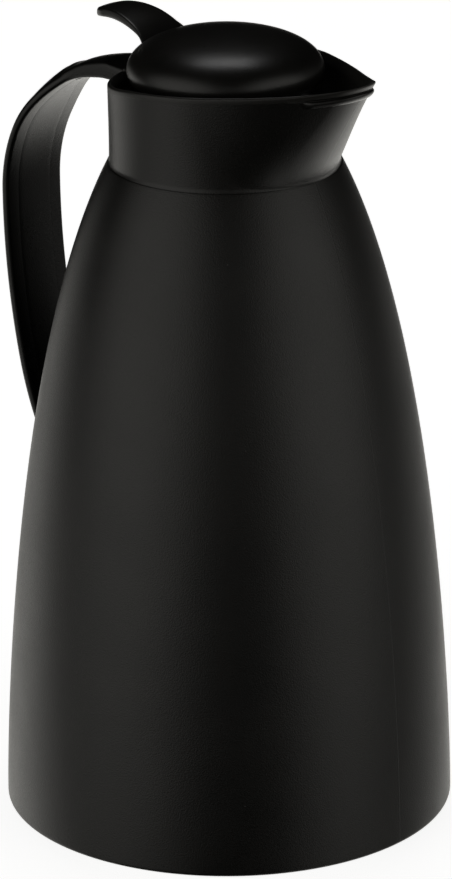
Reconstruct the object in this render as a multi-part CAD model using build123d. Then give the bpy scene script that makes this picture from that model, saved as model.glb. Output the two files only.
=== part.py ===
from build123d import *
import math
import os

# Vacuum carafe, in millimetres. X is the pouring direction, Z is up, and the origin is the
# centre of the face that the carafe stands on. The handle is on the -X side.

# Outer casing
foot_radius = 72.6
shoulder_radius = 37.0
casing_height = 214.0
casing_wall = 2.4
foot_upright = 20.0
shoulder_spread = 31.3
shoulder_drop = 61.4
neck_hole_radius = 30.8
shoulder_flange = 2.6
foot_round = 1.0

# Spout collar and pouring funnel
collar_radius = 36.5
collar_flare = 0.4
collar_height = 24.6
spout_root = 0.6
spout_low = 8.4
spout_middle = 15.8
spout_top = 23.8
tip_root_radius = 28.0
tip_low_radius = 20.0
tip_middle_radius = 13.5
tip_top_radius = 11.5
spout_excess = 3.0
collar_wall = 1.2
collar_floor = 2.0
rim_side_rise = 4.6
rim_tip_rise = 10.2
rim_front_rise = 1.0
rim_flank_fall = 2.1
rim_rear_bend = 34.0
rim_side_bend = 18.0
rim_front_bend = 24.0
rim_flank_bend = 46.0
rim_tip_bend = 58.0
rim_beyond = 8.0
rim_beyond_rise = 2.2
rim_flange = 1.9
rim_step = 0.9
bead_proud = 1.0
bead_height = 2.3
bead_groove = 0.35
bead_start = 0.5
funnel_wall = 1.4
funnel_floor_drop = 8.6
funnel_floor = 2.0
throat_radius = 17.5
seat_top_radius = 30.0
seat_bottom_radius = 19.5
seat_depth = 10.0

# Collar spigot and its ring nut
spigot_wall = 2.6
spigot_length = 9.0
nut_height = 4.6
nut_wall = 3.8
nut_notches = 6
notch_width = 6.0
notch_depth = 1.6

# Vacuum insert
flask_radius = 50.0
flask_wall_bottom = 39.0
flask_bottom_depth = 24.0
flask_neck_drop = 66.0
flask_shoulder_curve = 45.0
flask_neck_radius = 23.5
flask_neck_curve = 8.0
flask_lip_rise = 2.0
outer_glass = 1.6
vacuum_gap = 2.6
inner_glass = 1.4
nipple_radius = 3.4
nipple_length = 4.5
pad_radius = 7.0
pad_count = 3
pad_height = 62.0

# Gasket, cushion and base
gasket_thickness = 2.0
gasket_skirt = 3.5
gasket_wall = 1.5
cushion_outer = 40.0
cushion_inner = 12.0
cushion_seat = 8.5
cap_plate = 2.2
cap_recess = 1.6
cap_skirt_height = 12.0
cap_skirt_wall = 2.2
grip_radius = 26.0
grip_depth = 5.0
grip_bar = 9.0
cap_ribs = 8
cap_rib_width = 1.8
lug_count = 4
lug_angle = 28.0
lug_height = 2.2
lug_proud = 2.4
ledge_height = 9.2
foot_ring_inset = 12.6
foot_ring_width = 5.0

# Handle
handle_stand_off = 13.5
handle_turn_drop = 24.0
handle_bend_drop = 6.138
handle_clearance = 4.877
handle_bend_overlap = 1.87
handle_tail = 6.82
handle_width = 26.0
handle_neck_width = 15.0
handle_taper_start = 6.1
handle_taper_end = 26.1
handle_edge = 3.0
handle_crown = 2.4
handle_lip = 2.8
channel_depth = 1.9
channel_crown = 1.7
liner_crown = 0.3
head_start = 26.0
head_under_drop = 8.4
head_under_rise = 3.4
head_top_drop = 4.2
stop_middle = 18.5
stop_middle_drop = 1.4
stop_end = 8.0
stop_rise = 0.8
stop_lean = 2.4
saddle_drop = 2.2
tongue_width = 10.0
handle_boss_radius = 4.0
handle_boss_length = 5.6
screw_drop = 89.0
screw_grip = 5.2
screw_pad = 1.6
screw_pad_radius = 5.0
screw_radius = 1.6
screw_head_radius = 3.2
screw_head_height = 2.0

# Lid
dome_gap = 5.15
dome_lift = 5.1
dome_rise = 12.5
dome_fullness = 0.59
dome_drop = 3.3
dome_tuck = 1.75
dome_wall = 2.0
lever_root = 9.35
lever_root_rise = 3.2
lever_root_thickness = 1.2
lever_middle = 6.65
lever_middle_rise = 12.7
lever_reach = 20.15
lever_tip_rise = 11.5
lever_thickness = 2.8
lever_root_width = 20.0
lever_tip_width = 13.0
plate_thickness = 1.8
plate_inset = 2.0
plate_ledge = 1.2
hinge_inset = 6.9
hinge_drop = 2.2
hinge_pin_radius = 1.25
knuckle_radius = 2.9
knuckle_width = 12.0
ear_width = 3.2
stopper_disc_inset = 3.0
stopper_disc_drop = 0.8
stopper_disc = 1.8
stopper_groove = 3.2
stopper_cup_inset = 7.0
stopper_wall = 1.8
stopper_bottom_inset = 4.0
stopper_depth = 9.4
stopper_boss_radius = 4.5
seal_thickness = 2.2
stopper_screw_radius = 1.75
stopper_screw_head = 3.6
stopper_screw_length = 14.0

# Clearances
fit = 0.1
slide_fit = 0.3
running_fit = 0.06
seal_gap = 0.3

# Beyond the part, for cutters
far = 200.0

# Places that follow from the sizes above
rim_rear_height = casing_height + collar_height
rim_side_height = rim_rear_height + rim_side_rise
rim_tip_height = rim_rear_height + rim_tip_rise
funnel_floor_height = rim_rear_height - funnel_floor_drop
flask_lip_height = casing_height + flask_lip_rise
flask_shoulder_height = flask_lip_height - flask_neck_drop
foot_ring_radius = foot_radius - foot_ring_inset
handle_reach = foot_radius + handle_stand_off
handle_turn_height = casing_height - handle_turn_drop
screw_height = handle_turn_height - screw_drop
head_base = rim_rear_height - head_under_drop
saddle_height = rim_rear_height - saddle_drop
dome_equator = rim_rear_height + dome_lift
dome_radius = collar_radius - dome_gap
dome_foot_radius = dome_radius - dome_tuck
lid_base = dome_equator - dome_drop
plate_radius = dome_foot_radius - plate_inset
hinge_reach = collar_radius - hinge_inset
hinge_height = rim_rear_height - hinge_drop
stopper_disc_radius = seat_top_radius - stopper_disc_inset
stopper_disc_height = funnel_floor_height - stopper_disc_drop
stopper_groove_radius = stopper_disc_radius - stopper_groove
stopper_cup_radius = stopper_disc_radius - stopper_cup_inset
stopper_bottom_radius = seat_bottom_radius - stopper_bottom_inset
stopper_bottom_height = stopper_disc_height - stopper_depth


def cylinder(radius, bottom, top):
    """An upright cylinder on the axis between two heights."""
    return Pos(0, 0, bottom) * Cylinder(radius, top - bottom, align=(Align.CENTER, Align.CENTER, Align.MIN))


def cone(bottom_radius, top_radius, bottom, top):
    """An upright cone frustum on the axis between two heights."""
    frustum = Cone(bottom_radius, top_radius, top - bottom, align=(Align.CENTER, Align.CENTER, Align.MIN))
    return Pos(0, 0, bottom) * frustum


def block(x_range, y_range, z_range):
    """A box between two limits on each axis."""
    size = [limits[1] - limits[0] for limits in (x_range, y_range, z_range)]
    corner = (x_range[0], y_range[0], z_range[0])
    return Pos(*corner) * Box(*size, align=(Align.MIN, Align.MIN, Align.MIN))


def cross_rod(radius, x, z, half_length):
    """A rod along Y, centred on the middle plane."""
    return Pos(x, 0, z) * Rot(90, 0, 0) * Cylinder(radius, 2 * half_length)


def x_rod(radius, start, end, z):
    """A rod along X between two places."""
    return Pos((start + end) / 2, 0, z) * Rot(0, 90, 0) * Cylinder(radius, end - start)


def filled(*lines):
    """A flat face inside a closed outline of lines and polylines."""
    return make_face(Wire([edge for line in lines for edge in line.edges()]))


def turned(*lines):
    """A solid of revolution from a closed outline in the XZ plane."""
    return revolve(Plane.XZ * filled(*lines), Axis.Z)


def side_slab(*lines, half_width=far):
    """A closed outline in the XZ plane, carried both ways along Y."""
    return extrude(Plane.XZ * filled(*lines), half_width, both=True)


def casing_side(inset):
    """The bell's side curve, drawn in by an inset measured square to its wall."""
    lean = math.atan2(shoulder_spread, shoulder_drop)
    foot = (foot_radius - inset, 0)
    top = (shoulder_radius - inset * math.cos(lean), casing_height - inset * math.sin(lean))
    spread = (top[0] + shoulder_spread, top[1] - shoulder_drop)
    return Bezier(foot, (foot[0], foot_upright), spread, top)


def casing_form(inset):
    """The bell shape as a solid, drawn in by an inset."""
    side = casing_side(inset)
    foot, top = side @ 0, side @ 1
    return turned(side, Polyline((top.X, top.Y), (0, top.Y), (0, 0), (foot.X, 0)))


def casing_radius(height):
    """The casing's outer radius at a height, found by halving along its side curve."""
    side = casing_side(0)
    low, high = 0.0, 1.0
    while high - low > 1e-5:
        middle = (low + high) / 2
        if (side @ middle).Y < height:
            low = middle
        else:
            high = middle
    return (side @ low).X


def screw_seat():
    """The flat inside the casing that the handle screw's head bears on."""
    return casing_wall + screw_pad - casing_radius(screw_height)


def screw_tip():
    """The end of the screw's hole in the handle."""
    return -casing_radius(screw_height) - screw_grip


def make_outer_casing():
    body = casing_form(0)
    body = fillet(body.edges().sort_by(Axis.Z)[0], foot_round)
    hollow = casing_form(casing_wall) & cylinder(far, -1, casing_height - shoulder_flange)
    body -= hollow
    body -= cylinder(neck_hole_radius, casing_height - 2 * shoulder_flange, casing_height + 1)
    ledge = cylinder(foot_radius - casing_wall / 2, ledge_height, ledge_height + lug_height)
    ledge -= cylinder(foot_radius - casing_wall - lug_proud, 0, casing_height)
    for number in range(lug_count):
        turn = 360 / lug_count * number
        body += ledge & Rot(0, 0, turn) * wedge(lug_angle)
    body += x_rod(screw_pad_radius, -foot_radius, screw_seat(), screw_height) & casing_form(casing_wall / 2)
    return body - x_rod(screw_radius + fit, -far, 0, screw_height)


def wedge(angle):
    """A pie slice about +X with its point on the axis, taller than the part."""
    half = math.radians(angle / 2)
    left = (far * math.cos(half), far * math.sin(half))
    right = (left[0], -left[1])
    return extrude(make_face(Polyline((0, 0), left, right, close=True)), far)


def teardrop(height, rear_radius, tip_reach, tip_radius, grow):
    """A plan outline: a round back, straight flanks and a rounded spout tip."""
    centre = tip_reach - tip_radius
    angle = math.acos((rear_radius - tip_radius) / centre)
    rear = rear_radius + grow
    tip = tip_radius + grow
    shoulder = (rear * math.cos(angle), rear * math.sin(angle))
    cheek = (centre + tip * math.cos(angle), tip * math.sin(angle))
    outline = Wire([
        ThreePointArc(shoulder, (-rear, 0), (shoulder[0], -shoulder[1])),
        Line((shoulder[0], -shoulder[1]), (cheek[0], -cheek[1])),
        ThreePointArc((cheek[0], -cheek[1]), (centre + tip, 0), cheek),
        Line(cheek, shoulder),
    ])
    return Pos(0, 0, height) * make_face(outline)


def spout_form(grow):
    """The outside of collar and spout, from the casing seam to above the rim."""
    sections = (
        (collar_radius, spout_root, tip_root_radius),
        (collar_radius, spout_low, tip_low_radius),
        (collar_radius + collar_flare / 2, spout_middle, tip_middle_radius),
        (collar_radius + collar_flare, spout_top, tip_top_radius),
    )
    step = (rim_tip_height + spout_excess - casing_height) / (len(sections) - 1)
    return loft([teardrop(casing_height + number * step, radius, radius + reach, tip, grow)
                 for number, (radius, reach, tip) in enumerate(sections)])


def rim_line(drop):
    """The rim seen from the side: low at the handle, rising to the spout's tip."""
    return Spline(
        (-far / 2, rim_rear_height - drop),
        (-rim_rear_bend, rim_rear_height - drop),
        (-rim_side_bend, rim_rear_height + rim_side_rise * 0.3 - drop),
        (0, rim_side_height - drop),
        (rim_front_bend, rim_side_height + rim_front_rise - drop),
        (rim_flank_bend, rim_tip_height - rim_flank_fall - drop),
        (rim_tip_bend, rim_tip_height - drop),
        (rim_tip_bend + rim_beyond, rim_tip_height + rim_beyond_rise - drop),
    )


def below_rim(drop):
    """Everything under the rim line, moved down by a drop."""
    line = rim_line(drop)
    start, end = line @ 0, line @ 1
    base = casing_height - collar_height
    return side_slab(line, Polyline(end, (end.X, base), (start.X, base), start))


def make_spout_collar():
    outside = spout_form(0) & below_rim(rim_flange)
    above_floor = block((-far, far), (-far, far), (casing_height + collar_floor, far * 2))
    inside = spout_form(-collar_wall) & above_floor
    spigot_radius = neck_hole_radius - slide_fit
    body = outside - inside
    body += cylinder(spigot_radius, casing_height - spigot_length, casing_height + collar_floor / 2)
    body -= cylinder(spigot_radius - spigot_wall, 0, casing_height + collar_floor + 1)
    bead_top = rim_flange + bead_groove
    bead = spout_form(bead_proud) & below_rim(bead_top)
    bead -= below_rim(bead_top + bead_height)
    bead -= spout_form(-collar_wall / 2)
    bead &= block((collar_radius + bead_start, far), (-far, far), (0, far * 2))
    body += bead
    return body - tongue_block(2 * collar_wall, fit)


def make_pouring_funnel():
    skin = collar_wall + fit
    wall_base = funnel_floor_height - funnel_floor
    flange = (spout_form(0) & below_rim(0)) - below_rim(rim_flange)
    wall = spout_form(-skin) & below_rim(rim_flange / 2)
    wall &= block((-far, far), (-far, far), (wall_base, far * 2))
    seat_base = funnel_floor_height - seat_depth
    throat_base = flask_lip_height + gasket_thickness
    bowl_radii = seat_bottom_radius + funnel_wall, seat_top_radius + funnel_wall
    bowl = cone(*bowl_radii, seat_base, funnel_floor_height)
    bowl += cylinder(seat_bottom_radius + funnel_wall, throat_base, seat_base)
    body = flange + wall + bowl
    hollow = spout_form(-skin - funnel_wall)
    hollow &= block((-far, far), (-far, far), (funnel_floor_height, far * 2))
    body -= hollow
    body -= spout_form(-skin) - below_rim(rim_step)
    body -= cone(seat_bottom_radius, seat_top_radius, seat_base, funnel_floor_height)
    body -= cylinder(throat_radius, 0, funnel_floor_height)
    body += hinge_ears() & spout_form(-skin - funnel_wall / 2)
    return body - cross_rod(hinge_pin_radius, -hinge_reach, hinge_height, pin_half_length())


def hinge_ears():
    """Two lugs on the funnel's rear wall that hold the hinge pin."""
    inner = knuckle_width / 2 + slide_fit
    outer = inner + ear_width
    ears = []
    for side in (-1, 1):
        limits = sorted((side * inner, side * outer))
        height = (hinge_height - knuckle_radius, hinge_height + knuckle_radius)
        web = block((-collar_radius, -hinge_reach), limits, height)
        tip = cross_rod(knuckle_radius, -hinge_reach, hinge_height, ear_width / 2)
        ears.append(web + Pos(0, side * (inner + outer) / 2, 0) * tip)
    return ears[0] + ears[1]


def pin_half_length():
    """From the middle plane to the outer faces of the two lugs."""
    return knuckle_width / 2 + slide_fit + ear_width


def make_hinge_pin():
    return cross_rod(hinge_pin_radius, -hinge_reach, hinge_height, pin_half_length())


def make_collar_nut():
    inner = neck_hole_radius - slide_fit + fit
    top = casing_height - shoulder_flange - fit / 2
    ring = cylinder(inner + nut_wall, top - nut_height, top) - cylinder(inner, 0, far * 2)
    for number in range(nut_notches):
        reach = inner + nut_wall
        notch = block((reach - notch_depth, reach + 1), (-notch_width / 2, notch_width / 2), (0, far * 2))
        ring -= Rot(0, 0, 360 / nut_notches * number) * notch
    return ring


def bottle(inset, lip_height):
    """The bottle shape of the vacuum insert, drawn in by an inset."""
    radius = flask_radius - inset
    shoulder_x = flask_radius - flask_shoulder_curve
    curve = flask_shoulder_curve - inset
    neck = flask_neck_radius - inset
    neck_curve = flask_neck_curve + inset
    hollow_x = neck + neck_curve
    reach = flask_shoulder_curve + flask_neck_curve
    hollow_z = flask_shoulder_height + math.sqrt(reach ** 2 - (hollow_x - shoulder_x) ** 2)
    slope = math.atan2(hollow_z - flask_shoulder_height, hollow_x - shoulder_x)
    join = (shoulder_x + curve * math.cos(slope), flask_shoulder_height + curve * math.sin(slope))
    middle = (shoulder_x + curve * math.cos(slope / 2), flask_shoulder_height + curve * math.sin(slope / 2))
    half_turn = math.pi + slope / 2
    bend = (hollow_x + neck_curve * math.cos(half_turn), hollow_z + neck_curve * math.sin(half_turn))
    depth = flask_bottom_depth - inset
    bottom = flask_wall_bottom - depth
    dish = EllipticalCenterArc((0, flask_wall_bottom), radius, depth, 270, arc_size=90)
    return turned(
        dish,
        Line((radius, flask_wall_bottom), (radius, flask_shoulder_height)),
        ThreePointArc((radius, flask_shoulder_height), middle, join),
        ThreePointArc(join, bend, (neck, hollow_z)),
        Polyline((neck, hollow_z), (neck, lip_height), (0, lip_height), (0, bottom)),
    )


def make_flask_outer_glass():
    top = flask_lip_height - outer_glass
    body = bottle(0, top)
    bottom = flask_wall_bottom - flask_bottom_depth
    body += cylinder(nipple_radius, bottom - nipple_length, bottom + outer_glass)
    body = fillet(body.edges().group_by(Axis.Z)[0], nipple_radius * 0.8)
    return body - bottle(outer_glass, top + 1)


def make_flask_inner_glass():
    inset = outer_glass + vacuum_gap
    body = bottle(inset, flask_lip_height)
    body += cylinder(flask_neck_radius, flask_lip_height - outer_glass, flask_lip_height)
    return body - bottle(inset + inner_glass, flask_lip_height + 1)


def make_spacer_pads():
    outer = flask_radius - outer_glass - fit
    inner = flask_radius - outer_glass - vacuum_gap + fit
    ring = cylinder(outer, 0, far) - cylinder(inner, 0, far)
    pads = []
    for number in range(pad_count):
        plug = Rot(0, 90, 0) * Cylinder(pad_radius, far, align=(Align.CENTER, Align.CENTER, Align.MIN))
        plug = Pos(0, 0, pad_height) * plug
        pads.append(ring & Rot(0, 0, 360 / pad_count * number + 60) * plug)
    return Compound(children=pads)


def make_neck_gasket():
    top = flask_lip_height + gasket_thickness
    outer = flask_neck_radius + slide_fit + gasket_wall
    ring = cylinder(outer, flask_lip_height - gasket_skirt, top)
    ring -= cylinder(flask_neck_radius + slide_fit, 0, flask_lip_height)
    return ring - cylinder(throat_radius, 0, far * 2)


def make_flask_cushion():
    base = cap_recess + cap_plate + grip_depth
    rough = cylinder(cushion_outer, base, flask_wall_bottom - cushion_seat) - cylinder(cushion_inner, 0, far)
    return rough - bottle(-slide_fit, flask_lip_height)


def make_base_cap():
    outer = foot_radius - casing_wall - 2 * slide_fit
    skirt = outer - lug_proud
    body = cylinder(outer, cap_recess, cap_recess + cap_plate)
    wall = cylinder(skirt, cap_recess, cap_skirt_height + lug_height)
    wall -= cylinder(skirt - cap_skirt_wall, 0, far)
    body += wall
    lugs = cylinder(outer, ledge_height + lug_height + fit, cap_skirt_height + lug_height)
    lugs -= cylinder(skirt - 0.5, 0, far)
    for number in range(lug_count):
        body += lugs & Rot(0, 0, 360 / lug_count * (number + 0.5)) * wedge(lug_angle)
    body += cylinder(grip_radius + cap_plate, cap_recess, cap_recess + cap_plate + grip_depth)
    for number in range(cap_ribs):
        rib = block((grip_radius, skirt - cap_skirt_wall / 2), (-cap_rib_width / 2, cap_rib_width / 2),
                    (cap_recess + cap_plate / 2, cap_recess + cap_plate + grip_depth))
        body += Rot(0, 0, 360 / cap_ribs * (number + 0.5)) * rib
    grip = cylinder(grip_radius, 0, cap_recess + grip_depth)
    grip -= block((-far, far), (-grip_bar / 2, grip_bar / 2), (0, far))
    body -= grip
    return body - foot_ring_form(fit)


def foot_ring_form(grow):
    """The rubber ring set in a groove under the cap, with a margin on both sides."""
    top = cap_recess + cap_plate / 2
    outer = foot_ring_radius + foot_ring_width + grow
    return cylinder(outer, 0, top) - cylinder(foot_ring_radius - grow, 0, far)


def make_foot_ring():
    return foot_ring_form(0)


def bend_radius(x, height):
    """Radius of the circle that is upright at the handle's turn and passes through a point."""
    run = x + handle_reach
    rise = height - handle_turn_height
    return (run ** 2 + rise ** 2) / (2 * run)


def strap_section(half_width, depth, crown):
    """A round-backed section of the strap at the turn, from the inner face outwards."""
    inner = handle_edge - handle_reach
    outer = inner - depth
    section = filled(
        Polyline((outer, -half_width), (inner, -half_width), (inner, half_width), (outer, half_width)),
        ThreePointArc((outer, half_width), (outer - crown, 0), (outer, -half_width)),
    )
    return Pos(0, 0, handle_turn_height) * section


def swept_strap(section):
    """A section carried up the top bend, into the head, and down the back bend, into the casing."""
    head_rise = rim_rear_height - handle_bend_drop - handle_turn_height
    top_radius = bend_radius(-collar_radius - head_start, handle_turn_height + head_rise)
    back_radius = bend_radius(-casing_radius(screw_height) - handle_clearance, screw_height)
    top_axis = Axis((top_radius - handle_reach, 0, handle_turn_height), (0, 1, 0))
    back_axis = Axis((back_radius - handle_reach, 0, handle_turn_height), (0, -1, 0))
    sweep_up = math.degrees(math.asin(head_rise / top_radius)) + handle_bend_overlap
    sweep_down = math.degrees(math.asin(screw_drop / back_radius)) + handle_tail
    return revolve(section, top_axis, sweep_up) + revolve(section, back_axis, sweep_down)


def handle_plan(inset):
    """Plan outline of the handle: full width at the back, narrower where it meets the collar."""
    wide = handle_width / 2 - inset
    narrow = handle_neck_width / 2 - inset
    start, end = handle_taper_start - handle_reach, handle_taper_end - handle_reach
    left = Spline((start, wide), (end, narrow), tangents=((1, 0), (1, 0)))
    right = Spline((end, -narrow), (start, -wide), tangents=((-1, 0), (-1, 0)))
    front = Polyline((end, narrow), (0, narrow), (0, -narrow), (end, -narrow))
    back = Polyline((start, -wide), (-far, -wide), (-far, wide), (start, wide))
    return extrude(filled(left, front, right, back), far * 2)


def handle_head():
    """The solid upper end: a flat underside, the raised stop and the low saddle by the collar."""
    start = -collar_radius - head_start
    middle = -collar_radius - stop_middle
    end = -collar_radius - stop_end
    under = head_base + head_under_rise
    top = rim_rear_height + stop_rise
    lower = Polyline((start, head_base), (end, under), (0, under), (0, saddle_height),
                     (end - stop_lean, saddle_height), (end, top))
    start_top = rim_rear_height - head_top_drop
    back = Spline((end, top), (middle, rim_rear_height - stop_middle_drop), (start, start_top),
                  tangents=((-1, 0), (-1, -0.6)))
    edge = Line((start, start_top), (start, head_base))
    return side_slab(lower, back, edge, half_width=handle_neck_width / 2)


def tongue_block(reach, grow):
    """The tongue at the handle's upper end, which passes into the collar's rear wall."""
    half = tongue_width / 2 + grow
    height = (head_base + head_under_rise - grow, saddle_height + grow)
    return block((-collar_radius - stop_end, reach - collar_radius), (-half, half), height)


def make_handle_strap():
    body = swept_strap(strap_section(handle_width / 2, handle_edge, handle_crown))
    body &= handle_plan(0)
    channel = swept_strap(strap_section(handle_width / 2 - handle_lip, channel_depth, channel_crown))
    body -= channel & handle_plan(handle_lip)
    body += handle_head()
    body -= spout_form(fit)
    body += tongue_block(collar_wall - 2 * fit, 0)
    boss_end = -casing_radius(screw_height) - handle_boss_length
    body += x_rod(handle_boss_radius, boss_end, -foot_radius / 2, screw_height)
    body -= casing_form(-fit)
    return body - x_rod(screw_radius, screw_tip(), 0, screw_height)


def make_handle_liner():
    half = handle_width / 2 - handle_lip - fit
    body = swept_strap(strap_section(half, channel_depth - fit, liner_crown))
    body &= handle_plan(handle_lip + fit)
    body -= x_rod(handle_boss_radius + fit, -far, 0, screw_height)
    body -= block((-collar_radius - head_start - fit, 0), (-far, far), (0, far * 2))
    return body - casing_form(-fit)


def make_handle_screw():
    seat = screw_seat() + fit / 2
    body = x_rod(screw_radius - fit / 2, screw_tip() + fit, seat, screw_height)
    return body + x_rod(screw_head_radius, seat, seat + screw_head_height, screw_height)


def dome_cap(inset):
    """The part of the dome above its widest ring, a little fuller than half a flattened ball."""
    radius = dome_radius - inset
    rise = dome_rise - inset
    edge = (radius, dome_equator)
    top = (0, dome_equator + rise)
    arc = Bezier(edge, (radius, dome_equator + dome_fullness * rise), (dome_fullness * radius, top[1]), top)
    return turned(arc, Polyline(top, (0, dome_equator), edge))


def dome_belly():
    """The part below the widest ring, curving in to the foot."""
    base = lid_base
    middle = (dome_radius - 0.25 * (dome_radius - dome_foot_radius), dome_equator - dome_drop / 2)
    arc = ThreePointArc((dome_foot_radius, base), middle, (dome_radius, dome_equator))
    equator = (dome_radius, dome_equator)
    return turned(arc, Polyline(equator, (0, dome_equator), (0, base), (dome_foot_radius, base)))


def lever_form():
    """The thumb lever: an arched tongue, wide at the dome and round at its tip."""
    root = (lever_root - dome_radius, dome_equator + lever_root_rise)
    middle = (-dome_radius - lever_middle, dome_equator + lever_middle_rise)
    tip = (-dome_radius - lever_reach, dome_equator + lever_tip_rise)
    root_under = (root[0], root[1] - lever_root_thickness)
    middle_under = (middle[0], middle[1] - lever_thickness)
    tip_under = (tip[0], tip[1] - lever_thickness)
    side = side_slab(ThreePointArc(root, middle, tip), Line(tip, tip_under),
                     ThreePointArc(tip_under, middle_under, root_under), Line(root_under, root))
    root_half = lever_root_width / 2
    tip_half = lever_tip_width / 2
    centre = tip[0] + tip_half
    plan = filled(
        Polyline((centre, -tip_half), (root[0], -root_half), (root[0], root_half), (centre, tip_half)),
        ThreePointArc((centre, tip_half), (tip[0], 0), (centre, -tip_half)),
    )
    return side & extrude(plan, far * 2)


def make_lid_cover():
    base = lid_base
    body = dome_cap(0) + dome_belly() + lever_form()
    body -= dome_cap(dome_wall)
    body -= cylinder(plate_radius - plate_ledge, base, dome_equator + fit)
    return body - cylinder(plate_radius + fit, base - 1, base + plate_thickness + fit)


def make_lid_plate():
    base = lid_base
    body = cylinder(plate_radius, base, base + plate_thickness)
    body += cross_rod(knuckle_radius, -hinge_reach, hinge_height, knuckle_width / 2)
    half = knuckle_width / 2
    front = -hinge_reach + 2 * knuckle_radius
    body += block((-hinge_reach, front), (-half, half), (hinge_height, base + fit))
    body -= cross_rod(hinge_pin_radius + running_fit, -hinge_reach, hinge_height, far)
    return body - cylinder(stopper_screw_radius + fit, 0, far * 2)


def make_stopper_cup():
    base = lid_base
    disc_top = stopper_disc_height + stopper_disc
    outline = Polyline(
        (0, stopper_bottom_height), (stopper_bottom_radius, stopper_bottom_height),
        (stopper_groove_radius, stopper_disc_height), (stopper_disc_radius, stopper_disc_height),
        (stopper_disc_radius, disc_top), (stopper_cup_radius, disc_top), (stopper_cup_radius, base),
        (stopper_cup_radius - stopper_wall, base), (stopper_cup_radius - stopper_wall, disc_top),
        (stopper_bottom_radius - stopper_wall, stopper_bottom_height + stopper_wall),
        (stopper_boss_radius, stopper_bottom_height + stopper_wall), (stopper_boss_radius, base),
        (0, base), close=True)
    return turned(outline) - cylinder(stopper_screw_radius, base - stopper_screw_length, base + 1)


def make_stopper_seal():
    slope = (seat_top_radius - seat_bottom_radius) / seat_depth
    seat_base = funnel_floor_height - seat_depth
    gap = seal_gap * math.hypot(1, slope)
    top = stopper_disc_height - fit / 2
    bottom = top - seal_thickness

    def reach(height):
        return seat_bottom_radius + slope * (height - seat_base) - gap

    def inner(height):
        run = (height - stopper_bottom_height) / (stopper_disc_height - stopper_bottom_height)
        return stopper_bottom_radius + run * (stopper_groove_radius - stopper_bottom_radius) + fit

    below = (inner(bottom), bottom), (reach(bottom), bottom)
    outline = Polyline(*below, (reach(top), top), (inner(top), top), close=True)
    return turned(outline)


def make_stopper_screw():
    base = lid_base
    top = base + plate_thickness + fit / 2
    body = cylinder(stopper_screw_radius - fit / 2, base - stopper_screw_length + 1, top)
    return body + cylinder(stopper_screw_head, top, top + screw_head_height)


pieces = {
    "outer_casing": make_outer_casing(),
    "spout_collar": make_spout_collar(),
    "pouring_funnel": make_pouring_funnel(),
    "hinge_pin": make_hinge_pin(),
    "collar_nut": make_collar_nut(),
    "flask_outer_glass": make_flask_outer_glass(),
    "flask_inner_glass": make_flask_inner_glass(),
    "spacer_pads": make_spacer_pads(),
    "neck_gasket": make_neck_gasket(),
    "flask_cushion": make_flask_cushion(),
    "base_cap": make_base_cap(),
    "foot_ring": make_foot_ring(),
    "handle_strap": make_handle_strap(),
    "handle_liner": make_handle_liner(),
    "handle_screw": make_handle_screw(),
    "lid_cover": make_lid_cover(),
    "lid_plate": make_lid_plate(),
    "stopper_cup": make_stopper_cup(),
    "stopper_seal": make_stopper_seal(),
    "stopper_screw": make_stopper_screw(),
}
os.makedirs("parts", exist_ok=True)
for name, piece in pieces.items():
    export_step(piece, f"parts/{name}.step")
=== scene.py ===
import math
import bmesh
import bpy
import numpy as np
from mathutils import Matrix, Vector


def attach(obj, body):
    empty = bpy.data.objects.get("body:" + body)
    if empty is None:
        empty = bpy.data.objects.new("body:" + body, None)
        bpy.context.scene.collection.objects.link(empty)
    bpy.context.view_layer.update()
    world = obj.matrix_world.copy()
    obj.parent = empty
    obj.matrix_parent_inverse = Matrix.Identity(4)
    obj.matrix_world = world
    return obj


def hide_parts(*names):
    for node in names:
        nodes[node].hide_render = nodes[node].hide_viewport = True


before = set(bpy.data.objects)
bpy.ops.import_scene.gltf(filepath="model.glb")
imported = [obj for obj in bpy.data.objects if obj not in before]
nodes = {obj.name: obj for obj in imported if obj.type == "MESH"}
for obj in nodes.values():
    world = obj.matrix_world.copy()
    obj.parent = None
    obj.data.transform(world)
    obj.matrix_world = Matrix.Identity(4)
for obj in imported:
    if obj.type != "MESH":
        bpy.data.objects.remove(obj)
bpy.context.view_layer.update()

# Lengths of the shapes are in millimetres, and lay_surface turns them into metres.
# X points along the spout, Z up, and heights start at the table.
MM = 0.001
X, Y, Z = 0, 1, 2
WELD_METRES = 2e-7


# Curves and surfaces
def lay_surface(name, points, wrap_rows=False, wrap_columns=False, crease=40):
    """A smooth mesh over a grid of points: neighbours in rows and columns span the faces.
    Wrapping joins the last row or column to the first. Rows that shrink to one point are
    welded shut, and edges that turn by more than crease degrees are shown sharp."""
    rows, columns = points.shape[:2]
    index = np.arange(rows * columns).reshape(rows, columns)
    if wrap_rows:
        index = np.vstack([index, index[:1]])
    if wrap_columns:
        index = np.hstack([index, index[:, :1]])
    quads = np.stack([index[:-1, :-1], index[:-1, 1:], index[1:, 1:], index[1:, :-1]], axis=-1)
    mesh = bpy.data.meshes.new(name)
    mesh.from_pydata((points.reshape(-1, 3) * MM).tolist(), [], quads.reshape(-1, 4).tolist())
    work = bmesh.new()
    work.from_mesh(mesh)
    bmesh.ops.remove_doubles(work, verts=work.verts, dist=WELD_METRES)
    bmesh.ops.recalc_face_normals(work, faces=work.faces)
    work.to_mesh(mesh)
    work.free()
    mesh.polygons.foreach_set("use_smooth", np.ones(len(mesh.polygons), bool))
    mesh.set_sharp_from_angle(angle=math.radians(crease))
    piece = bpy.data.objects.new(name, mesh)
    bpy.context.scene.collection.objects.link(piece)
    return piece


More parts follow.
